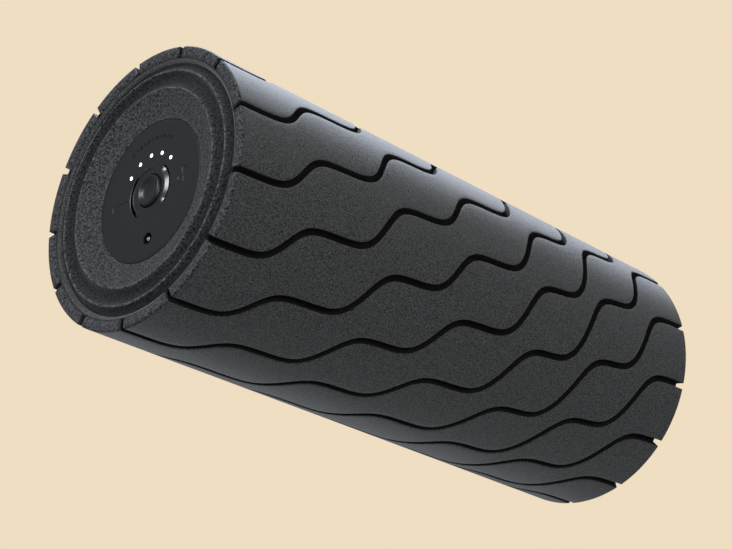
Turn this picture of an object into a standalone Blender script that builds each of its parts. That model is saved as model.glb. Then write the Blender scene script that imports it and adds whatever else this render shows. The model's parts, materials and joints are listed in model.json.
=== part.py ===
"""Vibrating foam roller, standing on its plain end, control end up.

Metres, +Z up. The origin is the centre of the bottom face and +Z is the roller's axis. Seen from
above, the lamps of the control panel are towards +Y and the charging socket is towards -Y.
From outside in: foam tread, core tube, split chassis, then motor, weights and battery.
"""

import math

import bmesh
import bpy

# Driving dimensions of the roller
ROLLER_RADIUS = 0.065
ROLLER_LENGTH = 0.300
GAP = 0.0003  # between pieces that touch
ROD_TURN_DEG = 6.5  # keeps the corners of round holes off the edges of what they cut
TREAD_BORE = 0.0504
RIM_BORE = 0.0576  # the counterbore at each end of the tread, which holds the end ring
RIM_BORE_DEPTH = 0.007
RIM_EDGE = 0.0007
RIM_FLAT_INNER = 0.0614
RIM_VALLEY_DEPTH = 0.0020

# Wavy grooves: each one climbs round the roller in six smooth steps
GROOVE_COUNT = 13
GROOVE_WIDTH = 0.0032
GROOVE_DEPTH = 0.0050
GROOVE_START_DEG = -14.4
GROOVE_DRIFT_DEG_PER_M = 30.0
STEP_LENGTH = 0.0078
STEPS = (  # (distance from the control end, rise in degrees)
    (0.0352, 17.4),
    (0.0852, 23.0),
    (0.1320, 21.0),
    (0.1807, 27.1),
    (0.2241, 34.0),
    (0.2665, 30.3),
)

# End rings and the panels in their middle
END_RING_RADIUS = 0.0571
CRESTS = (0.0537, 0.0456)
CREST_HALF_WIDTH = 0.0004
VALLEY_RADIUS = 0.0496
PANEL_RADIUS = 0.0330
PANEL_RECESS = 0.0050
PANEL_THICKNESS = 0.0030

# Core tube and the bulkheads that close it
TUBE_RADIUS = 0.0500
TUBE_BORE = 0.0470
FLANGE_HEIGHT = 0.0064
SPIGOT_RADIUS = 0.0466
SPIGOT_LENGTH = 0.0100
LEDGE_RADIUS = 0.0345
BOARD_POCKET_RADIUS = 0.0315
END_SCREW_CIRCLE = 0.0390
END_SCREW_DEGREES = (0.0, 120.0, 240.0)

# Chassis
CHASSIS_RADIUS = 0.0455
CHASSIS_BORE = 0.0425
CHASSIS_BOTTOM = 0.0243
CHASSIS_TOP = 0.2757
SEAL_GROOVE_RADIUS = 0.0440
SEAL_HEIGHTS = (0.0440, 0.2480)
SEAL_WIDTH = 0.0036

# Drive: a motor with an off-centre weight at each end of its shaft
SHAFT_RADIUS = 0.0025
SHAFT_SPAN = (0.0440, 0.1780)
MOTOR_RADIUS = 0.0190
MOTOR_SPAN = (0.0820, 0.1380)
MOTOR_WALL = 0.0014
MOTOR_BELL_RADIUS = 0.0165
ARMATURE_RADIUS = 0.0130
BEARING_RADIUS = 0.0080
BEARING_WIDTH = 0.0050
BEARING_HEIGHTS = (0.0500, 0.1690)
WEIGHT_RADIUS = 0.0240
WEIGHT_HUB_RADIUS = 0.0070
WEIGHT_THICKNESS = 0.0120
WEIGHT_HEIGHTS = (0.0620, 0.1500)
WEIGHT_ARC_DEG = 160.0

# Battery
CELL_RADIUS = 0.0092
CELL_LENGTH = 0.0650
CELL_CIRCLE = 0.0117
CELL_BOTTOM = 0.1913
HOLDER_RADIUS = 0.0240

# Controls
BOARD_RADIUS = 0.0300
BOARD_BOTTOM = 0.2840
BOARD_THICKNESS = 0.0016
BUTTON_RADIUS = 0.0074
BUTTON_WELL_RADIUS = 0.0077
BUTTON_FLANGE_RADIUS = 0.0090
BUTTON_PROUD = 0.0013
ISLAND_RADIUS = 0.0122
ISLAND_SLOPE_START = 0.0094  # inside this the island is level with the panel
ISLAND_DROP = 0.0014
ISLAND_SLOPE_HALF_DEG = 43.0  # the slopes are at the panel's left and right only
CHANNEL_RADIUS = 0.0132
LAMP_CIRCLE = 0.0173
LAMP_RADIUS = 0.0009
LAMP_DEGREES = (40.0, 65.0, 90.0, 115.0, 140.0)
SOCKET_Y = -0.0231
SOCKET_RADIUS = 0.0029
SOCKET_PIN_RADIUS = 0.0010


def clear_scene():
    for obj in list(bpy.data.objects):
        bpy.data.objects.remove(obj)


def material(name, colour, roughness, metallic=0.0):
    made = bpy.data.materials.new(name)
    made.use_nodes = True
    shader = made.node_tree.nodes["Principled BSDF"]
    shader.inputs["Base Color"].default_value = (*colour, 1.0)
    shader.inputs["Roughness"].default_value = roughness
    shader.inputs["Metallic"].default_value = metallic
    return made


def make_materials():
    return {
        "foam": material("foam", (0.045, 0.046, 0.050), 0.90),
        "end_foam": material("end_foam", (0.050, 0.051, 0.056), 0.88),
        "panel": material("panel", (0.030, 0.031, 0.034), 0.55),
        "lens": material("lens", (0.90, 0.92, 0.95), 0.30),
        "shell": material("shell", (0.12, 0.12, 0.13), 0.60),
        "steel": material("steel", (0.60, 0.60, 0.62), 0.30, 1.0),
        "brass": material("brass", (0.75, 0.58, 0.30), 0.35, 1.0),
        "board": material("board", (0.03, 0.20, 0.08), 0.50),
        "chip": material("chip", (0.02, 0.02, 0.02), 0.40),
        "cell": material("cell", (0.10, 0.30, 0.60), 0.40),
        "seal": material("seal", (0.02, 0.02, 0.02), 0.80),
        "magnet": material("magnet", (0.08, 0.08, 0.09), 0.50, 0.6),
        "red": material("red", (0.60, 0.03, 0.03), 0.50),
        "black": material("black", (0.015, 0.015, 0.015), 0.50),
    }


def add_object(name, bm, finish):
    """A node called name from the bmesh, with its normals facing out and its round faces smooth."""
    bmesh.ops.recalc_face_normals(bm, faces=bm.faces)
    mesh = bpy.data.meshes.new(name)
    bm.to_mesh(mesh)
    bm.free()
    mesh.shade_smooth()
    mesh.set_sharp_from_angle(angle=math.radians(30))
    mesh.materials.append(finish)
    obj = bpy.data.objects.new(name, mesh)
    bpy.context.scene.collection.objects.link(obj)
    return obj


def polar(radius, degrees, z=0.0):
    angle = math.radians(degrees)
    return radius * math.cos(angle), radius * math.sin(angle), z


def turned(name, profile, finish, segments=40, start_deg=0.0, sweep_deg=360.0):
    """The closed outline of (radius, z) points, turned about Z. Under 360 degrees it gets end faces."""
    whole = sweep_deg >= 360.0
    bm = bmesh.new()
    columns = []
    for i in range(segments if whole else segments + 1):
        degrees = start_deg + sweep_deg * i / segments
        column = []
        for j, (radius, z) in enumerate(profile):
            if radius < 1e-7 and columns:
                column.append(columns[0][j])
            else:
                column.append(bm.verts.new(polar(radius, degrees, z)))
        columns.append(column)
    pairs = list(zip(columns, columns[1:] + columns[:1])) if whole else list(zip(columns, columns[1:]))
    for here, there in pairs:
        for j in range(len(profile)):
            k = (j + 1) % len(profile)
            corners = []
            for vert in (here[j], there[j], there[k], here[k]):
                if vert not in corners:
                    corners.append(vert)
            if len(corners) > 2:
                bm.faces.new(corners)
    if not whole:
        bm.faces.new(columns[0])
        bm.faces.new(columns[-1])
    return add_object(name, bm, finish)


def ring(name, inner, outer, bottom, top, finish, segments=32):
    profile = [(inner, bottom), (outer, bottom), (outer, top), (inner, top)]
    return turned(name, profile, finish, segments)


def rod(name, radius, bottom, top, finish, centre=(0.0, 0.0), segments=24):
    obj = turned(name, [(0.0, bottom), (radius, bottom), (radius, top), (0.0, top)], finish, segments)
    obj.location = (centre[0], centre[1], 0.0)
    obj.rotation_euler = (0.0, 0.0, math.radians(ROD_TURN_DEG))
    return obj


def box(name, size, centre, finish):
    bm = bmesh.new()
    bmesh.ops.create_cube(bm, size=1.0)
    bmesh.ops.scale(bm, vec=size, verts=bm.verts)
    obj = add_object(name, bm, finish)
    obj.location = centre
    return obj


def combine(target, helper, operation):
    """A Boolean of target with a helper, which is left out of the model itself."""
    helper.hide_render = True
    helper.display_type = "WIRE"
    modifier = target.modifiers.new(helper.name, "BOOLEAN")
    modifier.operation = operation
    modifier.solver = "EXACT"
    modifier.object = helper


def cut(target, *helpers):
    for helper in helpers:
        combine(target, helper, "DIFFERENCE")


def join(target, *helpers):
    for helper in helpers:
        combine(target, helper, "UNION")


# Tread


def groove_degrees(depth):
    """Angle of the first groove's middle at a distance from the control end."""
    degrees = GROOVE_START_DEG + GROOVE_DRIFT_DEG_PER_M * depth
    for place, rise in STEPS:
        degrees += rise * (0.5 + 0.5 * math.tanh((depth - place) / STEP_LENGTH))
    return degrees


def groove_half_degrees(depth):
    """Half the angle that a groove covers, wider where it runs across the axis."""
    small = 0.0005
    slope = math.radians(groove_degrees(depth + small) - groove_degrees(depth - small)) / (2 * small)
    half_width = 0.5 * GROOVE_WIDTH * math.hypot(1.0, ROLLER_RADIUS * slope)
    return math.degrees(half_width / ROLLER_RADIUS)


def tread_columns(z):
    """Angles of a level's columns, four to a sector: groove's two edges, then two on the land."""
    depth = ROLLER_LENGTH - z
    pitch = 360.0 / GROOVE_COUNT
    middle, half = groove_degrees(depth), groove_half_degrees(depth)
    land = pitch - 2 * half
    angles = []
    for sector in range(GROOVE_COUNT):
        base = middle + sector * pitch
        angles += [base - half, base + half, base + half + land / 3, base + half + 2 * land / 3]
    return angles


def tread_levels(margin):
    """Heights of the tread's levels, closer together where the grooves step round."""
    depths = [margin, ROLLER_LENGTH - margin]
    for place, _ in STEPS:
        depths += [place + offset * STEP_LENGTH for offset in (-1.3, 0.0, 1.3)]
    places = [place for place, _ in STEPS]
    depths += [(a + b) / 2 for a, b in zip(places, places[1:])]
    depths.append((margin + places[0] - 1.3 * STEP_LENGTH) / 2)
    return sorted(ROLLER_LENGTH - depth for depth in depths)


def build_tread(finish):
    """One foam sleeve: a grooved outside, a rim at each end and a plain bore."""
    floor = ROLLER_RADIUS - GROOVE_DEPTH
    slope = RIM_VALLEY_DEPTH / (RIM_FLAT_INNER - RIM_BORE)
    margin = (RIM_FLAT_INNER - floor) * slope
    bm = bmesh.new()
    levels = tread_levels(margin)
    count = 4 * GROOVE_COUNT

    def is_floor(column):
        return column % 4 == 0

    def ring_of(radius, z, angles):
        return [bm.verts.new(polar(radius, degrees, z)) for degrees in angles]

    outer = [ring_of(ROLLER_RADIUS, z, tread_columns(z)) for z in levels]
    # Each groove's floor has two corners, below the groove's two edges.
    inner = []
    for z in levels:
        angles = tread_columns(z)
        inner.append({c: bm.verts.new(polar(floor, angles[c], z)) for c in range(count) if c % 4 < 2})
    for low in range(len(levels) - 1):
        high = low + 1
        for c in range(count):
            d = (c + 1) % count
            if is_floor(c):
                bm.faces.new((inner[low][c], inner[low][d], inner[high][d], inner[high][c]))
                for edge in (c, d):
                    bm.faces.new((outer[low][edge], inner[low][edge], inner[high][edge], outer[high][edge]))
            else:
                bm.faces.new((outer[low][c], outer[low][d], outer[high][d], outer[high][c]))

    bore_rings = []
    for end, towards in ((0, 1), (-1, -1)):
        face = levels[end] - towards * margin
        angles = tread_columns(levels[end])
        land_rings = [outer[end]]
        for radius, down in (
            (ROLLER_RADIUS, RIM_EDGE),
            (ROLLER_RADIUS - RIM_EDGE, 0.0),
            (RIM_FLAT_INNER, 0.0),
        ):
            land_rings.append(ring_of(radius, face + towards * down, angles))
        # Where the rim's slope meets the groove floors, the land columns get points of their own.
        meeting = [
            inner[end].get(c) or bm.verts.new(polar(floor, angles[c], levels[end])) for c in range(count)
        ]
        land_rings.append(meeting)
        for first, second in zip(land_rings, land_rings[1:]):
            for c in range(count):
                if not is_floor(c):
                    d = (c + 1) % count
                    bm.faces.new((first[c], first[d], second[d], second[c]))
        for c in range(0, count, 4):
            for edge in (c, c + 1):
                bm.faces.new([points[edge] for points in land_rings])
        whole_rings = [meeting]
        for radius, down in (
            (RIM_BORE, RIM_VALLEY_DEPTH),
            (RIM_BORE, RIM_BORE_DEPTH),
            (TREAD_BORE, RIM_BORE_DEPTH),
        ):
            whole_rings.append(ring_of(radius, face + towards * down, angles))
        for first, second in zip(whole_rings, whole_rings[1:]):
            for c in range(count):
                d = (c + 1) % count
                bm.faces.new((first[c], first[d], second[d], second[c]))
        bore_rings.append(whole_rings[-1])
        # Points of the land rings over the grooves belong to no face.
        for points in land_rings[1:4]:
            for vert in points:
                if not vert.link_faces:
                    bm.verts.remove(vert)

    # The grooves turn by nearly a whole number of sectors from end to end, so the bore joins up straight.
    turn = groove_degrees(ROLLER_LENGTH - margin) - groove_degrees(margin)
    shift = 4 * round(turn * GROOVE_COUNT / 360.0)
    low, high = bore_rings
    for c in range(count):
        a, b = (c + shift) % count, (c + 1 + shift) % count
        bm.faces.new((low[c], low[(c + 1) % count], high[b], high[a]))
    return add_object("tread_sleeve", bm, finish)


# End rings, bulkheads and tube


def mirrored(profile, flip):
    """The profile as it is at the control end, or turned over for the plain end."""
    return [(radius, ROLLER_LENGTH - z) for radius, z in profile] if flip else profile


def end_ring_profile(top, hole):
    """Two raised crests with hollow channels beside them, then a dish down to the panel."""
    outer_crest, inner_crest = CRESTS
    w = CREST_HALF_WIDTH
    seat = top - RIM_BORE_DEPTH + GAP
    return [
        (END_RING_RADIUS, seat),
        (END_RING_RADIUS, top - RIM_VALLEY_DEPTH),
        ((END_RING_RADIUS + outer_crest) / 2, top - 0.0016),
        (outer_crest + w, top),
        (outer_crest - w, top),
        ((outer_crest + VALLEY_RADIUS) / 2, top - 0.0015),
        (VALLEY_RADIUS, top - RIM_VALLEY_DEPTH),
        ((inner_crest + VALLEY_RADIUS) / 2, top - 0.0015),
        (inner_crest + w, top),
        (inner_crest - w, top),
        (hole, top - PANEL_RECESS + GAP),
        (hole, top - PANEL_RECESS - 0.0014),
        (LEDGE_RADIUS + GAP, top - PANEL_RECESS - 0.0014),
        (LEDGE_RADIUS + GAP, seat),
    ]


def build_ends(mats):
    hole = PANEL_RADIUS + GAP
    top = ROLLER_LENGTH
    flange_top = top - RIM_BORE_DEPTH - GAP
    flange_bottom = flange_top - FLANGE_HEIGHT
    ledge = top - PANEL_RECESS - PANEL_THICKNESS - GAP
    for name, flip in (("control_end_ring", False), ("plain_end_ring", True)):
        turned(name, mirrored(end_ring_profile(top, hole), flip), mats["end_foam"], 32)

    control = [
        (SPIGOT_RADIUS, flange_bottom - SPIGOT_LENGTH),
        (SPIGOT_RADIUS, flange_bottom),
        (TUBE_RADIUS, flange_bottom),
        (TUBE_RADIUS, flange_top),
        (LEDGE_RADIUS, flange_top),
        (LEDGE_RADIUS, ledge),
        (BOARD_POCKET_RADIUS, ledge),
        (BOARD_POCKET_RADIUS, BOARD_BOTTOM - GAP),
        (BOARD_RADIUS - 0.002, BOARD_BOTTOM - GAP),
        (BOARD_RADIUS - 0.002, flange_bottom - SPIGOT_LENGTH),
    ]
    plain = control[:5] + [
        (LEDGE_RADIUS, ledge),
        (0.0, ledge),
        (0.0, ledge - 0.004),
        (LEDGE_RADIUS, ledge - 0.004),
        (LEDGE_RADIUS, flange_bottom - SPIGOT_LENGTH),
    ]
    control_bulkhead = turned("control_bulkhead", control, mats["shell"], 24)
    plain_bulkhead = turned("plain_bulkhead", mirrored(plain, True), mats["shell"], 24)
    for index, degrees in enumerate(END_SCREW_DEGREES, start=1):
        place = polar(END_SCREW_CIRCLE, degrees)[:2]
        tip = CHASSIS_TOP - 0.011
        for end, flip, bulkhead in (("control", False, control_bulkhead), ("plain", True, plain_bulkhead)):
            head_seat = flange_top - 0.0032
            hole_profile = [
                (0.0, tip),
                (0.0018, tip),
                (0.0018, head_seat),
                (0.0040, head_seat),
                (0.0040, flange_top + 0.002),
                (0.0, flange_top + 0.002),
            ]
            hole_cutter = turned(f"{end}_screw_hole_{index}", mirrored(hole_profile, flip), mats["shell"], 20)
            hole_cutter.location = (*place, 0.0)
            cut(bulkhead, hole_cutter)
            add_screw(f"{end}_end_screw_{index}", head_seat + GAP, tip + 0.002, place, flip, mats["steel"])
    ring("core_tube", TUBE_BORE, TUBE_RADIUS, top - flange_bottom + GAP, flange_bottom - GAP, mats["shell"], 40)
    plate = [(0.0, top - PANEL_RECESS - PANEL_THICKNESS), (PANEL_RADIUS, top - PANEL_RECESS - PANEL_THICKNESS)]
    plate += [(PANEL_RADIUS, top - PANEL_RECESS), (0.0, top - PANEL_RECESS)]
    turned("plain_end_plate", mirrored(plate, True), mats["panel"], 40)


def screw_profile(head_seat, tip):
    shank, head, height = 0.0015, 0.0035, 0.0022
    return [
        (0.0, tip),
        (shank, tip + 0.001),
        (shank, head_seat),
        (head, head_seat),
        (head, head_seat + 0.6 * height),
        (0.6 * head, head_seat + height),
        (0.0, head_seat + height),
    ]


def add_screw(name, head_seat, tip, place, flip, finish):
    screw = turned(name, mirrored(screw_profile(head_seat, tip), flip), finish, 10)
    screw.location = (*place, 0.0)
    return screw


# Chassis


def rib(bottom, top, hole):
    """Points that turn a rib into the chassis bore, read from the top down."""
    return [(CHASSIS_BORE, top), (hole, top), (hole, bottom), (CHASSIS_BORE, bottom)]


def chassis_profile():
    motor_low, motor_high = MOTOR_SPAN
    bearing_low, bearing_high = BEARING_HEIGHTS
    shaft_hole = SHAFT_RADIUS + 0.0010
    cup = BEARING_RADIUS + GAP
    wall = 0.0020
    cell_top = CELL_BOTTOM + CELL_LENGTH
    half_seal = SEAL_WIDTH / 2 + GAP
    profile = [(CHASSIS_BORE, CHASSIS_BOTTOM), (CHASSIS_RADIUS, CHASSIS_BOTTOM)]
    for height in SEAL_HEIGHTS:
        profile += [
            (CHASSIS_RADIUS, height - half_seal),
            (SEAL_GROOVE_RADIUS, height - half_seal),
            (SEAL_GROOVE_RADIUS, height + half_seal),
            (CHASSIS_RADIUS, height + half_seal),
        ]
    profile += [(CHASSIS_RADIUS, CHASSIS_TOP), (CHASSIS_BORE, CHASSIS_TOP)]
    profile += rib(cell_top + 0.0020, cell_top + 0.0050, 0.0070)
    profile += rib(CELL_BOTTOM - 0.0053, CELL_BOTTOM - 0.0023, 0.0070)
    upper = rib(bearing_high - GAP, bearing_high + BEARING_WIDTH + wall, cup)
    upper[1:2] = [
        (shaft_hole, bearing_high + BEARING_WIDTH + wall),
        (shaft_hole, bearing_high + BEARING_WIDTH + GAP),
        (cup, bearing_high + BEARING_WIDTH + GAP),
    ]
    profile += upper
    for place in (motor_high - 0.0080, motor_low + 0.0040):
        profile += rib(place, place + 0.0040, MOTOR_RADIUS + GAP)
    lower = rib(bearing_low - wall, bearing_low + BEARING_WIDTH + GAP, cup)
    lower[2:3] = [
        (cup, bearing_low - GAP),
        (shaft_hole, bearing_low - GAP),
        (shaft_hole, bearing_low - wall),
    ]
    return profile + lower


def build_chassis(mats):
    """Two half shells that meet on the plane x = 0 and are held together by the tube round them."""
    halves = {}
    for name, start, sign in (("chassis_right", -90.0, 1), ("chassis_left", 90.0, -1)):
        half = turned(name, chassis_profile(), mats["shell"], 12, start, 180.0)
        half.location = (sign * GAP / 2, 0.0, 0.0)
        halves[sign] = half
    for index, degrees in enumerate(END_SCREW_DEGREES, start=1):
        place = polar(END_SCREW_CIRCLE, degrees)[:2]
        half = halves[1 if place[0] > 0 else -1]
        for end, flip in (("control", False), ("plain", True)):
            low, high = CHASSIS_TOP - 0.0140, CHASSIS_TOP - 0.0002
            boss = [(0.0, low), (0.0045, low), (0.0045, high), (0.0, high)]
            hole = [(0.0, low - 0.002), (0.0018, low - 0.002), (0.0018, high + 0.002), (0.0, high + 0.002)]
            boss_body = turned(f"{end}_boss_{index}", mirrored(boss, flip), mats["shell"], 20)
            hole_cutter = turned(f"{end}_boss_hole_{index}", mirrored(hole, flip), mats["shell"], 16)
            for helper in (boss_body, hole_cutter):
                helper.location = (*place, 0.0)
            join(half, boss_body)
            cut(half, hole_cutter)
    lead_hole = rod("lead_hole", 0.0048, 0.150, 0.270, mats["shell"], (-0.0340, 0.0), 16)
    cut(halves[-1], lead_hole)


def build_seals(finish):
    for name, height in zip(("lower_damping_ring", "upper_damping_ring"), SEAL_HEIGHTS):
        low, high = height - SEAL_WIDTH / 2, height + SEAL_WIDTH / 2
        middle = (SEAL_GROOVE_RADIUS + TUBE_BORE) / 2
        profile = [
            (SEAL_GROOVE_RADIUS + GAP, low),
            (middle, low),
            (TUBE_BORE - GAP, (low + height) / 2),
            (TUBE_BORE - GAP, (high + height) / 2),
            (middle, high),
            (SEAL_GROOVE_RADIUS + GAP, high),
        ]
        turned(name, profile, finish, 24)


# Drive


def build_motor(mats):
    low, high = MOTOR_SPAN
    bore = MOTOR_RADIUS - MOTOR_WALL
    shaft_hole = SHAFT_RADIUS + 0.0006
    can = [
        (shaft_hole, low),
        (MOTOR_RADIUS, low),
        (MOTOR_RADIUS, high),
        (bore, high),
        (bore, low + MOTOR_WALL),
        (shaft_hole, low + MOTOR_WALL),
    ]
    turned("motor_can", can, mats["steel"], 24)
    bell = [
        (shaft_hole, high - 0.0020),
        (bore - GAP, high - 0.0020),
        (bore - GAP, high + 0.0010),
        (MOTOR_BELL_RADIUS, high + 0.0030),
        (shaft_hole, high + 0.0030),
    ]
    turned("motor_end_bell", bell, mats["black"], 24)
    for name, start in (("motor_magnet_front", -155.0), ("motor_magnet_back", 25.0)):
        inner, outer = ARMATURE_RADIUS + 0.0008, bore - GAP
        bottom, top = low + 0.0060, high - 0.0080
        profile = [(inner, bottom), (outer, bottom), (outer, top), (inner, top)]
        turned(name, profile, mats["magnet"], 12, start, 130.0)

    core_low, core_high = low + 0.0080, high - 0.0100
    shaft = [
        (0.0, SHAFT_SPAN[0]),
        (SHAFT_RADIUS, SHAFT_SPAN[0] + 0.0005),
        (SHAFT_RADIUS, SHAFT_SPAN[1] - 0.0005),
        (0.0, SHAFT_SPAN[1]),
    ]
    turned("motor_shaft", shaft, mats["steel"], 20)
    bore = SHAFT_RADIUS + GAP
    armature = ring("motor_armature", bore, ARMATURE_RADIUS, core_low, core_high, mats["brass"], 24)
    for slot in range(5):
        place = polar(ARMATURE_RADIUS, 72.0 * slot, (core_low + core_high) / 2)
        cutter = box(f"armature_slot_{slot}", (0.0080, 0.0026, 0.0500), place, mats["brass"])
        cutter.rotation_euler = (0.0, 0.0, math.radians(72.0 * slot))
        cut(armature, cutter)


def build_bearings(mats):
    for name, low in zip(("lower_bearing", "upper_bearing"), BEARING_HEIGHTS):
        high = low + BEARING_WIDTH
        ring(f"{name}_outer_race", 0.0062, BEARING_RADIUS, low, high, mats["steel"], 20)
        ring(f"{name}_inner_race", SHAFT_RADIUS + GAP, 0.0044, low, high, mats["steel"], 16)


def build_weights(finish):
    """Two brass sectors, both on the same side of the shaft, so that their pull adds up."""
    for name, low in zip(("lower_weight", "upper_weight"), WEIGHT_HEIGHTS):
        high = low + WEIGHT_THICKNESS
        bm = bmesh.new()
        steps = 14
        hub_start = -180.0 + WEIGHT_ARC_DEG / 2
        outline = []
        for i in range(steps + 1):
            outline.append(polar(WEIGHT_RADIUS, -90.0 - WEIGHT_ARC_DEG / 2 + WEIGHT_ARC_DEG * i / steps))
        for i in range(steps + 1):
            sweep = 360.0 - WEIGHT_ARC_DEG - 40.0
            outline.append(polar(WEIGHT_HUB_RADIUS, hub_start + 110.0 + sweep * i / steps))
        hole = [polar(SHAFT_RADIUS + GAP, 360.0 * i / steps) for i in range(steps)]
        outer = [[bm.verts.new((x, y, z)) for x, y, _ in outline] for z in (low, high)]
        inner = [[bm.verts.new((x, y, z)) for x, y, _ in hole] for z in (low, high)]
        for bottom, top in (outer, inner):
            for i in range(len(bottom)):
                k = (i + 1) % len(bottom)
                bm.faces.new((bottom[i], bottom[k], top[k], top[i]))
        bm.edges.ensure_lookup_table()
        for level in range(2):
            edges = []
            for loop in (outer[level], inner[level]):
                for i in range(len(loop)):
                    edges.append(bm.edges.get((loop[i], loop[(i + 1) % len(loop)])))
            bmesh.ops.triangle_fill(bm, use_beauty=True, edges=edges)
        add_object(name, bm, finish)


# Battery


def build_battery(mats):
    centres = [polar(CELL_CIRCLE, degrees)[:2] for degrees in (90.0, 210.0, 330.0)]
    top = CELL_BOTTOM + CELL_LENGTH
    for index, centre in enumerate(centres, start=1):
        cell = [
            (0.0, CELL_BOTTOM),
            (CELL_RADIUS - 0.0005, CELL_BOTTOM),
            (CELL_RADIUS, CELL_BOTTOM + 0.0005),
            (CELL_RADIUS, top - 0.0015),
            (0.0040, top - 0.0010),
            (0.0040, top),
            (0.0, top),
        ]
        obj = turned(f"battery_cell_{index}", cell, mats["cell"], 16)
        obj.location = (*centre, 0.0)
    for name, low, high, pocket in (
        ("battery_holder_lower", CELL_BOTTOM - 0.0020, CELL_BOTTOM + 0.0040, (CELL_BOTTOM - GAP, 0.01)),
        ("battery_holder_upper", top - 0.0040, top + 0.0017, (top - 0.01, top + GAP)),
    ):
        start, end = (pocket[0], high + 0.002) if name.endswith("lower") else (low - 0.002, pocket[1])
        holder = rod(name, HOLDER_RADIUS, low, high, mats["black"], segments=24)
        for index, centre in enumerate(centres, start=1):
            cut(holder, rod(f"{name}_pocket_{index}", CELL_RADIUS + GAP, start, end, mats["black"], centre, 16))


# Controls


def arc_sector(name, inner, outer, bottom, top, middle_deg, half_deg, finish, segments=8):
    profile = [(inner, bottom), (outer, bottom), (outer, top), (inner, top)]
    return turned(name, profile, finish, segments, middle_deg - half_deg, 2 * half_deg)


def island_drop(x, y):
    """How far the island's edge lies below the panel. Its left and right slope down to a channel."""
    off_axis = abs(math.degrees(math.atan2(y, abs(x))))
    return ISLAND_DROP * min(1.0, max(0.0, (ISLAND_SLOPE_HALF_DEG + 4.0 - off_axis) / 8.0))


def build_panel(mats):
    """The disc round the button, with its sloped island and a channel outside each slope."""
    top = ROLLER_LENGTH - PANEL_RECESS
    bottom = top - PANEL_THICKNESS
    segments = 48
    levels = [
        (PANEL_RADIUS, bottom, 0),
        (PANEL_RADIUS, top, 0),
        (CHANNEL_RADIUS, top, 0),
        (CHANNEL_RADIUS - 0.0001, top - 0.00002, 1),
        (ISLAND_RADIUS, top - 0.00002, 1),
        (ISLAND_SLOPE_START, top, 0),
        (BUTTON_WELL_RADIUS, top, 0),
        (BUTTON_WELL_RADIUS, bottom, 0),
    ]
    rings = []
    bm = bmesh.new()
    for radius, z, lowered in levels:
        points = []
        for i in range(segments):
            x, y, _ = polar(radius, 360.0 * (i + 0.5) / segments)
            points.append(bm.verts.new((x, y, z - lowered * island_drop(x, y))))
        rings.append(points)
    for first, second in zip(rings, rings[1:] + rings[:1]):
        for i in range(segments):
            k = (i + 1) % segments
            bm.faces.new((first[i], first[k], second[k], second[i]))
    panel = add_object("control_panel", bm, mats["panel"])
    below, above = bottom - 0.001, top + 0.001
    for index, degrees in enumerate(LAMP_DEGREES, start=1):
        place = polar(LAMP_CIRCLE, degrees)[:2]
        hole = rod(f"lamp_hole_{index}", LAMP_RADIUS + 0.0002, below, above, mats["panel"], place, 12)
        cut(panel, hole)
    cut(panel, rod("socket_hole", SOCKET_RADIUS, below, above, mats["panel"], (0.0, SOCKET_Y), 20))


def build_button(mats):
    """The round cap with its dished top and, below the panel, the flange that keeps it in."""
    top = ROLLER_LENGTH - PANEL_RECESS
    flange_top = top - PANEL_THICKNESS - GAP
    flange_bottom = flange_top - 0.0014
    cap = [
        (0.0, flange_bottom),
        (BUTTON_FLANGE_RADIUS, flange_bottom),
        (BUTTON_FLANGE_RADIUS, flange_top),
        (BUTTON_RADIUS, flange_top),
        (BUTTON_RADIUS, top + 0.0003),
        (BUTTON_RADIUS - 0.0003, top + 0.0009),
        (BUTTON_RADIUS - 0.0008, top + BUTTON_PROUD),
        (BUTTON_RADIUS - 0.0014, top + 0.0010),
        (0.0048, top + 0.0004),
        (0.0, top - 0.0002),
    ]
    turned("power_button", cap, mats["panel"], 28)

    board_top = BOARD_BOTTOM + BOARD_THICKNESS + GAP
    dome = [
        (0.0072, board_top),
        (0.0088, board_top),
        (0.0072, flange_bottom - GAP),
        (0.0058, flange_bottom - GAP),
    ]
    turned("button_dome", dome, mats["seal"], 20)
    switch_top = board_top + 0.0035
    switch = box("switch_body", (0.0062, 0.0062, 0.0035), (0.0, 0.0, board_top + 0.00175), mats["chip"])
    cut(switch, rod("plunger_hole", 0.0020, board_top + 0.0009, switch_top + 0.001, mats["chip"], segments=16))
    rod("switch_plunger", 0.0017, board_top + 0.0020, flange_bottom - GAP, mats["steel"], segments=16)


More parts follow.
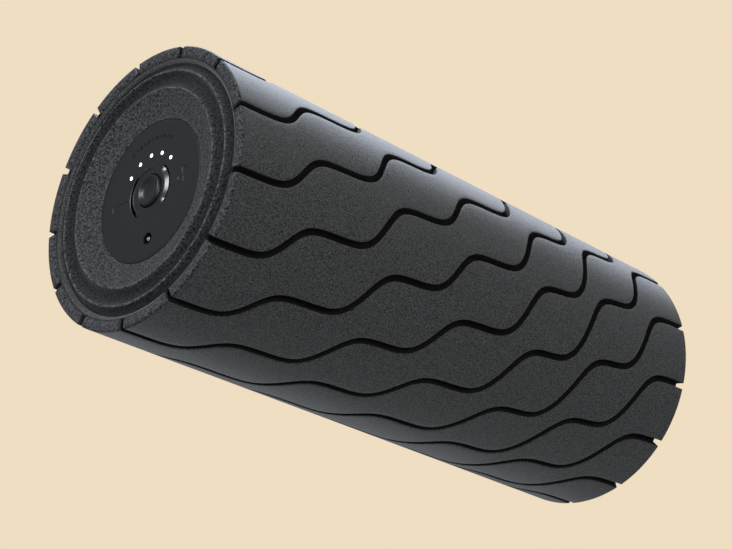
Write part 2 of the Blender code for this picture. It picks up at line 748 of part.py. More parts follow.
def build_board(mats):
    bottom, top = BOARD_BOTTOM, BOARD_BOTTOM + BOARD_THICKNESS
    rod("control_board", BOARD_RADIUS, bottom, top, mats["board"], segments=40)
    for index, degrees in enumerate(LAMP_DEGREES, start=1):
        x, y, _ = polar(LAMP_CIRCLE, degrees)
        lamp = box(f"status_led_{index}", (0.0020, 0.0020, 0.0012), (x, y, top + GAP + 0.0006), mats["lens"])
        lamp.rotation_euler = (0.0, 0.0, math.radians(degrees))
    box("motor_driver_chip", (0.0080, 0.0080, 0.0014), (0.0120, 0.0100, bottom - GAP - 0.0007), mats["chip"])
    box("lead_connector", (0.0070, 0.0140, 0.0050), (-0.0150, 0.0, bottom - GAP - 0.0025), mats["lens"])

    panel_bottom = ROLLER_LENGTH - PANEL_RECESS - PANEL_THICKNESS
    bar_top = panel_bottom - 0.0012
    inner, outer = LAMP_CIRCLE - 0.0016, LAMP_CIRCLE + 0.0016
    guide = arc_sector("light_guide", inner, outer, bar_top - 0.0020, bar_top, 90.0, 55.0, mats["lens"], 16)
    for index, degrees in enumerate(LAMP_DEGREES, start=1):
        place = polar(LAMP_CIRCLE, degrees)[:2]
        pin_top = ROLLER_LENGTH - PANEL_RECESS + 0.0001
        join(guide, rod(f"light_pin_{index}", LAMP_RADIUS, bar_top - 0.0010, pin_top, mats["lens"], place, 12))

    socket = [
        (0.0, top + GAP),
        (0.0050, top + GAP),
        (0.0050, panel_bottom - GAP),
        (SOCKET_RADIUS, panel_bottom - GAP),
        (SOCKET_RADIUS, top + GAP + 0.0010),
        (0.0, top + GAP + 0.0010),
    ]
    shell = turned("charging_socket", socket, mats["black"], 24)
    pin = [
        (0.0, top + 2 * GAP + 0.0010),
        (SOCKET_PIN_RADIUS, top + 2 * GAP + 0.0010),
        (SOCKET_PIN_RADIUS, ROLLER_LENGTH - PANEL_RECESS - 0.0006),
        (0.0006, ROLLER_LENGTH - PANEL_RECESS - 0.0002),
        (0.0, ROLLER_LENGTH - PANEL_RECESS - 0.0002),
    ]
    contact = turned("charging_pin", pin, mats["steel"], 16)
    for obj in (shell, contact):
        obj.location = (0.0, SOCKET_Y, 0.0)


# Leads


def smooth_route(stops, per_leg=3):
    """Points on a smooth curve through the stops."""
    padded = [stops[0], *stops, stops[-1]]
    points = []
    for a, b, c, d in zip(padded, padded[1:], padded[2:], padded[3:]):
        for i in range(per_leg):
            t = i / per_leg
            point = []
            for p, q, r, s in zip(a, b, c, d):
                square = (2 * p - 5 * q + 4 * r - s) * t**2
                cube = (3 * q - p - 3 * r + s) * t**3
                point.append(0.5 * (2 * q + (r - p) * t + square + cube))
            points.append(point)
    return points + [stops[-1]]


def add_lead(name, stops, finish, radius=0.0008):
    curve = bpy.data.curves.new(name, "CURVE")
    curve.dimensions = "3D"
    curve.bevel_depth = radius
    curve.bevel_resolution = 1
    curve.use_fill_caps = True
    route = smooth_route(stops)
    spline = curve.splines.new("POLY")
    spline.points.add(len(route) - 1)
    for point, place in zip(spline.points, route):
        point.co = (*place, 1.0)
    curve.materials.append(finish)
    obj = bpy.data.objects.new(name, curve)
    bpy.context.scene.collection.objects.link(obj)


def build_leads(mats):
    plug_bottom = BOARD_BOTTOM - GAP - 0.0050 - GAP
    bell_top = MOTOR_SPAN[1] + 0.0030 + GAP
    holder_top = CELL_BOTTOM + CELL_LENGTH + 0.0017 + GAP
    for colour, side in (("red", 1), ("black", -1)):
        motor_stops = [
            (-0.0090, side * 0.0060, bell_top + GAP),
            (-0.0110, side * 0.0050, bell_top + 0.0035),
            (-0.0270, side * 0.0030, bell_top + 0.0030),
            (-0.0340, side * 0.0020, bell_top + 0.0160),
            (-0.0340, side * 0.0020, 0.2050),
            (-0.0340, side * 0.0020, 0.2600),
            (-0.0240, side * 0.0045, 0.2690),
            (-0.0155, side * 0.0055, 0.2740),
            (-0.0150, side * 0.0055, plug_bottom - GAP),
        ]
        add_lead(f"motor_lead_{colour}", motor_stops, mats[colour])
        battery_stops = [
            (-0.0020, side * 0.0030, holder_top + GAP),
            (-0.0020, side * 0.0030, holder_top + 0.0060),
            (-0.0090, side * 0.0022, 0.2690),
            (-0.0148, side * 0.0020, 0.2740),
            (-0.0150, side * 0.0020, plug_bottom - GAP),
        ]
        add_lead(f"battery_lead_{colour}", battery_stops, mats[colour])


def main():
    clear_scene()
    mats = make_materials()
    build_tread(mats["foam"])
    build_ends(mats)
    build_chassis(mats)
    build_seals(mats["seal"])
    build_motor(mats)
    build_bearings(mats)
    build_weights(mats["brass"])
    build_battery(mats)
    build_panel(mats)
    build_button(mats)
    build_board(mats)
    build_leads(mats)


main()
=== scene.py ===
"""Looks, light and camera for the vibrating foam roller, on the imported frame. Metres, +Z up.

The roller stands on its plain end. Its panel faces up, with the lamps towards +Y.
"""

import json
import math

import bmesh
import bpy
from mathutils import Matrix, Vector


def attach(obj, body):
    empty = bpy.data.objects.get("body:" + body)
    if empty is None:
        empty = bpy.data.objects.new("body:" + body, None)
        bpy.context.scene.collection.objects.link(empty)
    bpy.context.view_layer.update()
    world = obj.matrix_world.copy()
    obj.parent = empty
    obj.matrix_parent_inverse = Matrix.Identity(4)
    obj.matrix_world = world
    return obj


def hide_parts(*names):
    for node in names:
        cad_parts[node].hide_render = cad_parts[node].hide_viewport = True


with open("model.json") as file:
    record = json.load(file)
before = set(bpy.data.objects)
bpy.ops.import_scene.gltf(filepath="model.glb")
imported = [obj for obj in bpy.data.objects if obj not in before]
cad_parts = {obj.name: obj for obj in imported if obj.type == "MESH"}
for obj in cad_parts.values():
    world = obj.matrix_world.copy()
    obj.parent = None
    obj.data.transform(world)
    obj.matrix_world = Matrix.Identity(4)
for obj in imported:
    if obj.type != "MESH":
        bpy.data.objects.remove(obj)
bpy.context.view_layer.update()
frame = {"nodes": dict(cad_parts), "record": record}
nodes = frame["nodes"]

# Dimensions. They follow the CAD, except where a comment gives the difference.
RADIUS = 0.065
LENGTH = 0.300
RIM_VALLEY_RADIUS = 0.0576
RIM_BORE_DEPTH = 0.0066  # 0.4 mm less than in the CAD
GROOVE_COUNT = 13
GROOVE_WIDTH = 0.0031  # 0.1 mm less than in the CAD
GROOVE_DEPTH = 0.0050
GROOVE_START_DEG = -14.4
GROOVE_DRIFT_DEG_PER_M = 30.0
STEP_LENGTH = 0.0078
STEPS = ((0.0352, 17.4), (0.0852, 23.0), (0.1320, 21.0), (0.1807, 27.1), (0.2241, 34.0), (0.2665, 30.3))
PANEL_RADIUS = 0.0330
PANEL_TOP = 0.2950
PANEL_SKIRT = 0.0029
PANEL_EDGE = 0.0003
ISLAND_DROP = 0.0014
SCOOP_START = 0.0094
SCOOP_HALF_DEG = 43.0
SCOOP_FADE_DEG = 18.0
LEFT_SLOPE_SHARE = 0.35  # the left slope falls this share of the right one's drop; the CAD's are alike
CHANNEL = (0.0122, 0.0132)
CHANNEL_DEPTH = 0.0012  # 0.2 mm less than in the CAD
RIGHT_CHANNEL_DEPTH = 0.00035  # the CAD has the same depth at both sides
LEFT_CHANNEL_NARROWING = 0.0004
LIP = 0.00042  # a ridge at the island's upper left, which the CAD lacks
LIP_RADIUS = 0.0113
LIP_WIDTH = 0.00045
CAP_RADIUS = 0.0074
CAP_WELL = 0.0077
CAP_PROUD = 0.0013
LAMP_CIRCLE = 0.0173
LAMP_DEGREES = (40.0, 65.0, 90.0, 115.0, 140.0)
LENS_RADIUS = 0.00085
SOCKET_Y = -0.0231
SOCKET_RADIUS = 0.0027  # 0.2 mm less than in the CAD
TICK_COUNT = 11
TICK_CIRCLE = 0.0252

# Colours, linear
BACKDROP = (0.863, 0.730, 0.539)
FOAM = (0.049, 0.050, 0.051)
END_FOAM = (0.042, 0.0435, 0.0485)
PANEL = (0.0090, 0.0095, 0.0120)


# (radius, brightness) of the end ring's crests and channels: painted highlights on the crests and painted
# shade in the channels
RING_PAINTED_LIGHT = (
    (0.0330, 1.0), (0.0440, 1.0), (0.0453, 1.2), (0.0456, 2.0), (0.0459, 1.2), (0.0464, 0.65),
    (0.0475, 0.42), (0.0500, 0.36), (0.0521, 0.42), (0.0530, 0.70), (0.0534, 1.3), (0.0537, 2.0),
    (0.0540, 1.3), (0.0544, 0.70), (0.0553, 0.42), (0.0576, 0.24), (0.0590, 0.26), (0.0599, 0.60),
    (0.0608, 1.1), (0.0640, 1.1),
)


# Materials


def new_material(name):
    made = bpy.data.materials.new(name)
    made.use_nodes = True
    return made, made.node_tree.nodes, made.node_tree.links


def grainy(name, colour, grain, contrast, bump, roughness, sheen=0.0, painted_light_bands=()):
    """A matte surface with specks of about grain metres, dark and light, that are also bumps.

    Its last argument gives (radius, brightness) pairs round the roller's axis: painted highlights on the
    crests and painted shade in the channels.
    """
    made, n, links = new_material(name)
    shader = n["Principled BSDF"]
    shader.inputs["Roughness"].default_value = roughness
    shader.inputs["Sheen Weight"].default_value = sheen
    shader.inputs["Sheen Roughness"].default_value = 0.45
    shader.inputs["Specular IOR Level"].default_value = 0.25
    place = n.new("ShaderNodeTexCoord")
    noise = n.new("ShaderNodeTexNoise")
    noise.inputs["Scale"].default_value = 1.0 / grain
    noise.inputs["Detail"].default_value = 3.0
    noise.inputs["Roughness"].default_value = 0.65
    pebble = n.new("ShaderNodeTexVoronoi")
    pebble.inputs["Scale"].default_value = 0.8 / grain
    ramp = n.new("ShaderNodeValToRGB")
    ramp.color_ramp.elements[0].position = 0.37
    ramp.color_ramp.elements[1].position = 0.63
    ramp.color_ramp.elements[0].color = (*[c * (1 - contrast) for c in colour], 1)
    ramp.color_ramp.elements[1].color = (*[c * (1 + contrast) for c in colour], 1)
    blend = n.new("ShaderNodeMix")
    blend.inputs["Factor"].default_value = 0.45
    height = n.new("ShaderNodeBump")
    height.inputs["Strength"].default_value = 0.8
    height.inputs["Distance"].default_value = bump
    links.new(place.outputs["Object"], noise.inputs["Vector"])
    links.new(place.outputs["Object"], pebble.inputs["Vector"])
    links.new(noise.outputs["Fac"], ramp.inputs["Fac"])
    tinted = ramp.outputs["Color"]
    # Painted light: the colour is scaled by radius, lighter on the crests and darker in the channels.
    if painted_light_bands:
        flat = n.new("ShaderNodeVectorMath")
        flat.operation = "MULTIPLY"
        flat.inputs[1].default_value = (1.0, 1.0, 0.0)
        reach = n.new("ShaderNodeVectorMath")
        reach.operation = "LENGTH"
        band = n.new("ShaderNodeFloatCurve")
        points = band.mapping.curves[0].points
        points[0].location = (0.0, 0.5)
        points[1].location = (1.0, 0.5)
        for radius, level in painted_light_bands:
            points.new(radius / RADIUS, level / 2.0)
        band.mapping.update()
        share = n.new("ShaderNodeMath")
        share.operation = "DIVIDE"
        share.inputs[1].default_value = RADIUS
        double = n.new("ShaderNodeVectorMath")
        double.operation = "SCALE"
        gain = n.new("ShaderNodeMath")
        gain.operation = "MULTIPLY"
        gain.inputs[1].default_value = 2.0
        links.new(place.outputs["Object"], flat.inputs[0])
        links.new(flat.outputs["Vector"], reach.inputs[0])
        links.new(reach.outputs["Value"], share.inputs[0])
        links.new(share.outputs["Value"], band.inputs["Value"])
        links.new(band.outputs["Value"], gain.inputs[0])
        links.new(ramp.outputs["Color"], double.inputs[0])
        links.new(gain.outputs["Value"], double.inputs["Scale"])
        tinted = double.outputs["Vector"]
    links.new(tinted, shader.inputs["Base Color"])
    links.new(noise.outputs["Fac"], blend.inputs["A"])
    links.new(pebble.outputs["Distance"], blend.inputs["B"])
    links.new(blend.outputs["Result"], height.inputs["Height"])
    links.new(height.outputs["Normal"], shader.inputs["Normal"])
    return made


def plain(name, colour, roughness, metallic=0.0, wear=0.08, grain=0.0015, shine=0.5):
    """A moulded or machined surface: its roughness varies a little, with a shallow texture."""
    made, n, links = new_material(name)
    shader = n["Principled BSDF"]
    shader.inputs["Base Color"].default_value = (*colour, 1)
    shader.inputs["Metallic"].default_value = metallic
    shader.inputs["Specular IOR Level"].default_value = shine
    place = n.new("ShaderNodeTexCoord")
    noise = n.new("ShaderNodeTexNoise")
    noise.inputs["Scale"].default_value = 1.0 / grain
    spread = n.new("ShaderNodeMapRange")
    spread.inputs["To Min"].default_value = max(0.05, roughness - wear)
    spread.inputs["To Max"].default_value = min(1.0, roughness + wear)
    height = n.new("ShaderNodeBump")
    height.inputs["Strength"].default_value = 0.15
    height.inputs["Distance"].default_value = 0.00005
    links.new(place.outputs["Object"], noise.inputs["Vector"])
    links.new(noise.outputs["Fac"], spread.inputs["Value"])
    links.new(spread.outputs["Result"], shader.inputs["Roughness"])
    links.new(noise.outputs["Fac"], height.inputs["Height"])
    links.new(height.outputs["Normal"], shader.inputs["Normal"])
    return made


def glowing(name, colour, strength):
    made, n, _ = new_material(name)
    shader = n["Principled BSDF"]
    shader.inputs["Base Color"].default_value = (*colour, 1)
    shader.inputs["Emission Color"].default_value = (*colour, 1)
    shader.inputs["Emission Strength"].default_value = strength
    return made


MATS = {
    "foam": grainy("foam_skin", FOAM, 0.00060, 0.95, 0.00030, 0.80, 0.35),
    # A near-black copy of the foam for the grooves' walls and floors: painted shade.
    "groove": grainy("groove_shade", (0.006, 0.006, 0.0065), 0.00060, 0.50, 0.00020, 0.95),
    # The end foam carries the rings' painted highlights and painted shade.
    "end_foam": grainy("end_foam_skin", END_FOAM, 0.00095, 1.0, 0.00060, 0.85, 0.10, RING_PAINTED_LIGHT),
    "panel": plain("panel_matte", PANEL, 0.34, wear=0.03, grain=0.0006, shine=0.5),
    # A lighter, glossier copy of the panel for the island's right slope only: a painted highlight, with real
    # gloss.
    "slope_highlight": plain("panel_painted_highlight", (0.020, 0.021, 0.025), 0.24, wear=0.03, grain=0.0006, shine=0.85),
    "lens": glowing("lens_lit", (0.95, 0.97, 1.0), 2.6),
    "shell": plain("shell_plastic", (0.10, 0.10, 0.11), 0.60),
    "steel": plain("steel_bright", (0.75, 0.75, 0.77), 0.25, 1.0),
    "brass": plain("brass_turned", (0.75, 0.58, 0.30), 0.35, 1.0),
    "board": plain("board_mask", (0.03, 0.20, 0.08), 0.50),
    "chip": plain("chip_body", (0.02, 0.02, 0.02), 0.40),
    "cell": plain("cell_sleeve", (0.10, 0.30, 0.60), 0.40),
    "seal": plain("seal_rubber", (0.02, 0.02, 0.02), 0.80),
    "magnet": plain("magnet_ferrite", (0.08, 0.08, 0.09), 0.50, 0.6),
    "red": plain("lead_red", (0.60, 0.03, 0.03), 0.50),
    "black": plain("black_plastic", (0.010, 0.010, 0.011), 0.50),
    "mark": plain("printed_mark", (0.060, 0.061, 0.068), 0.60),
    # Near-black paint for the channel round the island: painted shade, standing in for a deep gap.
    "channel_shade": plain("channel_painted_shade", (0.0015, 0.0015, 0.0015), 0.90, shine=0.02),
    "mark_faint": plain("faint_mark", (0.0045, 0.0045, 0.005), 0.70, shine=0.25),
}


def finish_cad_nodes():
    slots = {part["node"]: part["material_slot"] for part in frame["record"]["subparts"]}
    for name, obj in nodes.items():
        obj.data.materials.clear()
        obj.data.materials.append(MATS[slots[name]])


# Shapes


def polar(radius, degrees, z=0.0):
    angle = math.radians(degrees)
    return radius * math.cos(angle), radius * math.sin(angle), z


def smooth(value):
    value = min(1.0, max(0.0, value))
    return value * value * (3.0 - 2.0 * value)


def add_piece(name, bm, finish, body, sharp_deg=35.0):
    bmesh.ops.recalc_face_normals(bm, faces=bm.faces)
    mesh = bpy.data.meshes.new(name)
    bm.to_mesh(mesh)
    bm.free()
    mesh.shade_smooth()
    mesh.set_sharp_from_angle(angle=math.radians(sharp_deg))
    mesh.materials.append(finish)
    obj = bpy.data.objects.new(name, mesh)
    bpy.context.scene.collection.objects.link(obj)
    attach(obj, body)
    return obj


def grid(bm, rows, closed_rows=False):
    """Quads between rows of points. Each row is a ring. closed_rows joins the last row to the first."""
    pairs = list(zip(rows, rows[1:]))
    if closed_rows:
        pairs.append((rows[-1], rows[0]))
    for first, second in pairs:
        count = len(first)
        for c in range(count):
            d = (c + 1) % count
            bm.faces.new((first[c], first[d], second[d], second[c]))


def groove_degrees(depth):
    degrees = GROOVE_START_DEG + GROOVE_DRIFT_DEG_PER_M * depth
    for place, rise in STEPS:
        degrees += rise * (0.5 + 0.5 * math.tanh((depth - place) / STEP_LENGTH))
    return degrees


def tread_outline():
    """(radius, z) from the bore of the control end over the rim, down the side and round the plain rim."""
    rim = [(RIM_VALLEY_RADIUS, LENGTH - RIM_BORE_DEPTH), (RIM_VALLEY_RADIUS, LENGTH - 0.0028)]
    rim += [(RIM_VALLEY_RADIUS + 0.0002, LENGTH - 0.0022), (0.0580, LENGTH - 0.0019)]
    rim += [(0.0587, LENGTH - 0.0014), (0.0594, LENGTH - 0.0010), (0.0601, LENGTH - 0.0007)]
    rim += [(0.0608, LENGTH - 0.0004), (0.0615, LENGTH - 0.00015)]
    rim += [(0.0623, LENGTH), (0.0636, LENGTH)]
    edge = 0.0009
    for i in range(1, 5):
        turn = math.radians(90 - 18 * i)
        rim.append((RADIUS - edge + edge * math.cos(turn), LENGTH - edge + edge * math.sin(turn)))
    side = []
    levels = 260
    low, high = 0.0011, LENGTH - 0.0011
    for i in range(levels + 1):
        side.append((RADIUS, high + (low - high) * i / levels))
    plain_rim = [(radius, LENGTH - z) for radius, z in reversed(rim)]
    return rim + side + plain_rim


def build_tread():
    """The sleeve: one fine grid, whose columns follow the grooves."""
    half = GROOVE_WIDTH / 2
    edge = 0.0005
    # (distance from the groove's middle, radius there). The wall leans a little, and its top is rounded.
    floor_radius = RADIUS - GROOVE_DEPTH
    section = [(0.0, floor_radius), (0.7 * half, floor_radius), (half - 0.00012, floor_radius + 0.0004)]
    for i in range(5):
        turn = math.radians(90 * i / 4)
        section.append((half + edge - edge * math.cos(turn), RADIUS - edge + edge * math.sin(turn)))
    land = 9
    pitch = 360.0 / GROOVE_COUNT
    bm = bmesh.new()
    rows = []
    small = 0.0004
    for radius, z in tread_outline():
        depth = min(LENGTH - 0.001, max(0.001, LENGTH - z))
        middle = groove_degrees(depth)
        slope = math.radians(groove_degrees(depth + small) - groove_degrees(depth - small)) / (2 * small)
        stretch = math.degrees(math.hypot(1.0, RADIUS * slope) / RADIUS)
        last = section[-1][0] * stretch
        row = []
        for sector in range(GROOVE_COUNT):
            base = middle + sector * pitch
            offsets = [(-u * stretch, r) for u, r in reversed(section[1:])]
            offsets += [(u * stretch, r) for u, r in section]
            offsets += [(last + (pitch - 2 * last) * i / land, RADIUS) for i in range(1, land)]
            for offset, limit in offsets:
                row.append(bm.verts.new(polar(min(radius, limit), base + offset, z)))
        rows.append(row)
    grid(bm, rows)
    tread = add_piece("tread_foam", bm, MATS["foam"], "roller", 50.0)
    tread.data.materials.append(MATS["groove"])
    tread.data.materials.append(MATS["end_foam"])
    for face in tread.data.polygons:
        reach = max(math.hypot(*tread.data.vertices[i].co[:2]) for i in face.vertices)
        low = min(math.hypot(*tread.data.vertices[i].co[:2]) for i in face.vertices)
        in_side = 0.0010 < face.center.z < LENGTH - 0.0010
        # Faces inside the grooves take the near-black foam, as painted shade; the rim faces take the end
        # foam.
        if in_side and low < RADIUS - 0.00045 and reach > RADIUS - GROOVE_DEPTH - 0.0001:
            face.material_index = 1
        elif not in_side:
            face.material_index = 2
    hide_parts("tread_sleeve")


def wave(points, steps=7):
    """A Catmull-Rom curve through (radius, depth) points."""
    padded = [points[0], *points, points[-1]]
    curve = []
    for a, b, c, d in zip(padded, padded[1:], padded[2:], padded[3:]):
        for i in range(steps):
            t = i / steps
            curve.append(
                tuple(
                    0.5
                    * (
                        2 * q
                        + (r - p) * t
                        + (2 * p - 5 * q + 4 * r - s) * t**2
                        + (3 * q - p - 3 * r + s) * t**3
                    )
                    for p, q, r, s in zip(a, b, c, d)
                )
            )
    return curve + [points[-1]]


RING_WAVE = (
    (0.05755, 0.0040),
    (0.0575, 0.0030),
    (0.0566, 0.0029),
    (0.0556, 0.0023),
    (0.0547, 0.0012),
    (0.0542, 0.0004),
    (0.0537, 0.0001),
    (0.0532, 0.0004),
    (0.0525, 0.0013),
    (0.0513, 0.0024),
    (0.0498, 0.0029),
    (0.0482, 0.0024),
    (0.0469, 0.0013),
    (0.0461, 0.0005),
    (0.0456, 0.0002),
    (0.0451, 0.0005),
    (0.0440, 0.0012),
    (0.0415, 0.0024),
    (0.0380, 0.0037),
    (0.0350, 0.0046),
    (0.0335, 0.0050),
    (0.0332, 0.0051),
    (0.0331, 0.0060),
)


def lathe(name, outline, finish, body, segments=192, closed=True):
    bm = bmesh.new()
    rows = []
    for radius, z in outline:
        rows.append(circle(bm, radius, segments, z))
    grid(bm, rows, closed)
    return add_piece(name, bm, finish, body)


def build_end_rings():
    back = [(0.0331, 0.0065), (0.05755, 0.0065)]
    for name, flip in (("control_end_ring", False), ("plain_end_ring", True)):
        outline = [(r, d if flip else LENGTH - d) for r, d in wave(RING_WAVE) + back]
        ring = lathe(f"{name}_foam", outline, MATS["end_foam"], "roller")
        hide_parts(name)


def side_share(x, y):
    """1 at the island's left and right, 0 towards the lamps and the socket."""
    off_side = abs(math.degrees(math.atan2(y, abs(x))))
    return smooth((SCOOP_HALF_DEG + SCOOP_FADE_DEG / 2 - off_side) / SCOOP_FADE_DEG)


def scoop(x, y):
    """How far the island's surface lies below the panel: it rolls down to a channel at the left and right."""
    radius = math.hypot(x, y)
    if radius > CHANNEL[1]:
        return 0.0
    share = side_share(x, y)
    angle = math.degrees(math.atan2(y, x)) % 360.0
    lip = smooth((angle - 70.0) / 25.0) * smooth((245.0 - angle) / 25.0)
    if radius > CHANNEL[0]:
        # The right channel is shallow, so that its floor, painted near-black as shade, shows from the camera.
        return (RIGHT_CHANNEL_DEPTH if x > 0 else CHANNEL_DEPTH) * share
    fall = max(0.0, (radius - SCOOP_START) / (CHANNEL[0] - SCOOP_START))
    slope = fall**1.15 if x > 0 else LEFT_SLOPE_SHARE * fall**2
    ridge = LIP * lip * math.exp(-(((radius - LIP_RADIUS) / LIP_WIDTH) ** 2))
    return ISLAND_DROP * slope * share - ridge


def circle(bm, radius, segments, z):
    return [bm.verts.new(polar(radius, 360.0 * i / segments, z)) for i in range(segments)]


def height_field(bm, radii, segments, height):
    rows = []
    for radius in radii:
        row = []
        for i in range(segments):
            x, y, _ = polar(radius, 360.0 * i / segments)
            reach = radius
            if x < 0 and abs(radius - CHANNEL[0]) < 0.0001:
                # The left channel is the narrower one.
                reach += LEFT_CHANNEL_NARROWING * side_share(x, y)
            level = PANEL_TOP + height(x, y, radius)
            row.append(bm.verts.new((x * reach / radius, y * reach / radius, level)))
        rows.append(row)
    return rows


def build_panel():
    edge = PANEL_EDGE
    radii = [CAP_WELL, CAP_WELL + 0.0001, CAP_WELL + 0.0003]
    radii += [0.0083 + i * 0.00033 for i in range(12)]
    radii += [CHANNEL[0] - 0.00001, CHANNEL[0] + 0.00002, CHANNEL[1] - 0.00002, CHANNEL[1] + 0.00001]
    radii += [CHANNEL[1] + 0.0002, 0.0140, 0.0160, 0.0190, 0.0220, 0.0250, 0.0280, 0.0310]
    radii += [PANEL_RADIUS - edge, PANEL_RADIUS - edge / 3, PANEL_RADIUS]

    def height(x, y, radius):
        drop = scoop(x, y)
        if radius < CAP_WELL + 0.0002:
            drop += 0.0003 if radius == CAP_WELL else 0.0001
        if CHANNEL[1] < radius < CHANNEL[1] + 0.0001:
            drop += 0.00015 * side_share(x, y)
        if radius > PANEL_RADIUS - edge:
            drop += 0.00008 if radius < PANEL_RADIUS else 0.0003
        return -drop

    bm = bmesh.new()
    segments = 240
    rows = height_field(bm, radii, segments, height)
    rows.insert(0, circle(bm, CAP_WELL, segments, PANEL_TOP - PANEL_SKIRT))
    rows.append(circle(bm, PANEL_RADIUS, segments, PANEL_TOP - PANEL_SKIRT))
    grid(bm, rows, True)
    panel = add_piece("control_panel_face", bm, MATS["panel"], "roller", 40.0)
    panel.data.materials.append(MATS["channel_shade"])
    panel.data.materials.append(MATS["slope_highlight"])
    for face in panel.data.polygons:
        reach = math.hypot(face.center.x, face.center.y)
        # The island's right slope takes the lighter copy: a painted highlight.
        if SCOOP_START < reach < CHANNEL[0] and face.center.x > 0 and face.center.z < PANEL_TOP - 0.0001:
            face.material_index = 2
        # The channel faces take the near-black paint: painted shade.
        if CHANNEL[0] < reach < CHANNEL[1] and face.center.z < PANEL_TOP - 0.0001:
            face.material_index = 1
    cutter_bm = bmesh.new()
    bmesh.ops.create_cone(
        cutter_bm, segments=48, radius1=SOCKET_RADIUS, radius2=SOCKET_RADIUS, depth=0.02, cap_ends=True
    )
    cutter_mesh = bpy.data.meshes.new("socket_cutter")
    cutter_bm.to_mesh(cutter_mesh)
    cutter_bm.free()
    cutter = bpy.data.objects.new("socket_cutter", cutter_mesh)
    cutter.location = (0.0, SOCKET_Y, PANEL_TOP)
    bpy.context.scene.collection.objects.link(cutter)
    modifier = panel.modifiers.new("socket", "BOOLEAN")
    modifier.operation = "DIFFERENCE"
    modifier.solver = "EXACT"
    modifier.object = cutter
    bpy.context.view_layer.update()
    made = bpy.data.meshes.new_from_object(panel.evaluated_get(bpy.context.evaluated_depsgraph_get()))
    panel.modifiers.clear()
    panel.data = made
    bpy.data.objects.remove(cutter)
    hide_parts("control_panel")


def build_cap():
    """The round button: a rolled edge round a shallow dish."""
    outline = [(0.0024, -0.00025), (0.0040, 0.0), (0.0048, 0.0003), (0.0054, 0.0008), (0.0058, 0.0011)]
    outline += [(0.0061, 0.00125), (0.0064, CAP_PROUD), (0.0067, 0.00122), (0.0070, 0.0009)]
    outline += [(0.0072, 0.0005), (CAP_RADIUS, 0.0), (CAP_RADIUS, -0.0033)]
    bm = bmesh.new()
    rows = []
    segments = 128
    for radius, z in outline:
        rows.append(circle(bm, radius, segments, PANEL_TOP + z))
    grid(bm, rows)
    bm.faces.new(rows[0])
    bm.faces.new(rows[-1])
    cap = add_piece("power_button_cap", bm, MATS["panel"], "button", 40.0)
    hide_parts("power_button")


def build_lenses():
    """The tops of the light guide's five pins. They stand in for the whole guide."""
    bm = bmesh.new()
    for degrees in LAMP_DEGREES:
        place = Matrix.Translation(polar(LAMP_CIRCLE, degrees, PANEL_TOP - 0.0019))
        bmesh.ops.create_cone(
            bm,
            segments=24,
            radius1=LENS_RADIUS,
            radius2=LENS_RADIUS,
            depth=0.0040,
            cap_ends=True,
            matrix=place,
        )
    lenses = add_piece("lamp_lenses", bm, MATS["lens"], "roller")
    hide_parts("light_guide")


def arc_tick(bm, radius, degrees, width, length, top, thickness=0.00006):
    """A small flat bar that lies across a circle of that radius."""
    turn = Matrix.Rotation(math.radians(degrees), 4, "Z")
    place = turn @ Matrix.Translation((radius, 0.0, top))
    size = Matrix.Diagonal((length, width, thickness, 1.0))
    bmesh.ops.create_cube(bm, size=1.0, matrix=place @ size)


def build_marks():
    """Generic printed marks: a row of short ticks above the lamps, and small bars at the panel's sides."""
    bm = bmesh.new()
    for i in range(TICK_COUNT):
        arc_tick(bm, TICK_CIRCLE, 58.0 + 6.1 * i, 0.0009 if i % 2 else 0.0016, 0.0015, PANEL_TOP)
    add_piece("lamp_ticks", bm, MATS["mark_faint"], "roller")
    bm = bmesh.new()
    for radius, degrees, width, length in (
        (0.0215, 4.0, 0.0032, 0.0007),
        (0.0188, -4.0, 0.0012, 0.0012),
        (0.0222, -7.0, 0.0026, 0.0007),
        (0.0250, 181.0, 0.0022, 0.0008),
    ):
        arc_tick(bm, radius, degrees, width, length, PANEL_TOP)
    add_piece("side_marks", bm, MATS["mark"], "roller")
    bm = bmesh.new()
    arc_tick(bm, 0.0185, 178.0, 0.00035, 0.0075, PANEL_TOP)
    arc_tick(bm, 0.0235, 7.0, 0.0016, 0.0007, PANEL_TOP)
    add_piece("side_line", bm, MATS["mark_faint"], "roller")


# Stage, camera and lights


def build_floor():
    """A floor 0.5 mm under the roller that gives off its own light, so it shows no shadow."""
    bm = bmesh.new()
    bmesh.ops.create_grid(bm, x_segments=1, y_segments=1, size=30.0)
    mesh = bpy.data.meshes.new("studio_floor")
    bm.to_mesh(mesh)
    bm.free()
    floor = bpy.data.objects.new("studio_floor", mesh)
    floor.location = (0.0, 0.0, -0.0005)
    bpy.context.scene.collection.objects.link(floor)
    made, n, links = new_material("floor_paint")
    n.clear()
    paint = n.new("ShaderNodeEmission")
    paint.inputs["Color"].default_value = (*BACKDROP, 1)
    out = n.new("ShaderNodeOutputMaterial")
    links.new(paint.outputs["Emission"], out.inputs["Surface"])
    mesh.materials.append(made)
    floor.visible_diffuse = False
    floor.visible_glossy = False
    floor.visible_shadow = False


# The camera's own axes and place, with the panel's lamps towards +Y
FACE_TURN = Matrix.Rotation(math.radians(-19.4), 3, "Z")
CAM_RIGHT = FACE_TURN @ Vector((0.67027, 0.23284, -0.70464))
CAM_UP = FACE_TURN @ Vector((0.0, 0.949504, 0.313754))
CAM_BACK = FACE_TURN @ Vector((0.742118, -0.210299, 0.636424))
CAM_PLACE = FACE_TURN @ Vector((0.6922, -0.1911, 0.7586))
MIDDLE = Vector((0.0, 0.0, LENGTH / 2))


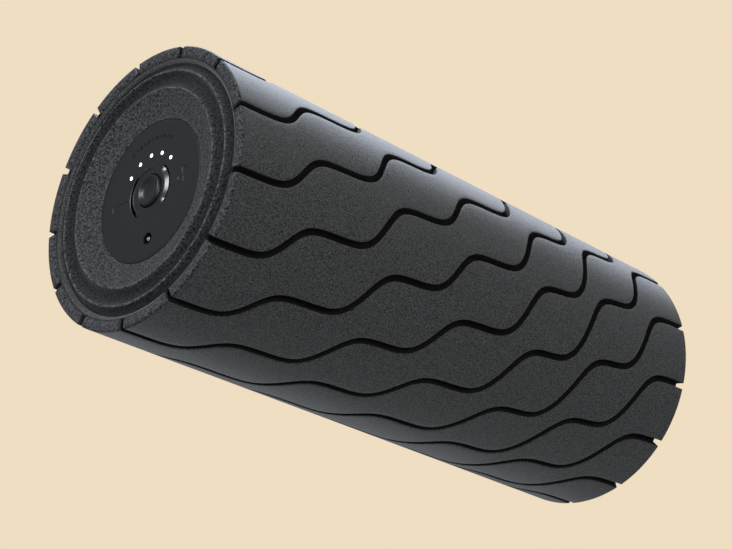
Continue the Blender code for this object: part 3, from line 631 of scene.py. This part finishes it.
def build_camera():
    data = bpy.data.cameras.new("camera")
    data.lens = 97.28
    data.sensor_width = 36.0
    data.clip_start = 0.01
    camera = bpy.data.objects.new("camera", data)
    axes = Matrix((CAM_RIGHT, CAM_UP, CAM_BACK)).transposed()
    camera.matrix_world = Matrix.Translation(CAM_PLACE) @ axes.to_4x4()
    bpy.context.scene.collection.objects.link(camera)
    bpy.context.scene.camera = camera


def seen_from(right, up, back):
    """A direction given by the camera's axes."""
    return CAM_RIGHT * right + CAM_UP * up + CAM_BACK * back


def area_light(name, way, distance, size, power, colour, aim=MIDDLE):
    """A soft round lamp that shines at a point from that direction."""
    way = way.normalized()
    data = bpy.data.lights.new(name, "AREA")
    data.shape = "DISK"
    data.size = size
    data.energy = power
    data.color = colour
    lamp = bpy.data.objects.new(name, data)
    lamp.location = aim + way * distance
    lamp.rotation_euler = way.to_track_quat("Z", "Y").to_euler()
    lamp.visible_camera = False
    bpy.context.scene.collection.objects.link(lamp)


def build_lights():
    end = Vector((0.0, 0.0, LENGTH))
    behind_above = seen_from(0.24, 0.56, -0.80)
    behind_above.z = 0.0
    area_light("edge_light", behind_above, 0.45, 0.18, 5.0, (0.74, 0.83, 1.0), Vector((0.0, 0.0, 0.205)))
    area_light("low_edge_light", seen_from(-0.3, -0.6, -0.9), 1.2, 0.5, 3.0, (0.80, 0.87, 1.0))
    area_light("end_light", Vector((0.14, 0.46, 0.87)), 1.2, 0.60, 10.0, (0.97, 0.98, 1.0), end)
    area_light("fill_light", seen_from(0.4, 0.3, 1.0), 1.6, 1.2, 9.5, (1.0, 1.0, 0.97))


def build_world():
    world = bpy.data.worlds.new("studio")
    bpy.context.scene.world = world
    world.use_nodes = True
    n, links = world.node_tree.nodes, world.node_tree.links
    n.clear()
    seen = n.new("ShaderNodeBackground")
    seen.inputs["Color"].default_value = (*BACKDROP, 1)
    lit = n.new("ShaderNodeBackground")
    lit.inputs["Color"].default_value = (0.92, 0.96, 1.0, 1)
    lit.inputs["Strength"].default_value = 0.30
    path = n.new("ShaderNodeLightPath")
    choose = n.new("ShaderNodeMixShader")
    out = n.new("ShaderNodeOutputWorld")
    links.new(path.outputs["Is Camera Ray"], choose.inputs["Fac"])
    links.new(lit.outputs["Background"], choose.inputs[1])
    links.new(seen.outputs["Background"], choose.inputs[2])
    links.new(choose.outputs["Shader"], out.inputs["Surface"])


def main():
    bpy.context.scene.view_settings.view_transform = "Standard"
    finish_cad_nodes()
    build_tread()
    build_end_rings()
    build_panel()
    build_cap()
    build_lenses()
    build_marks()
    build_floor()
    build_camera()
    build_lights()
    build_world()


main()
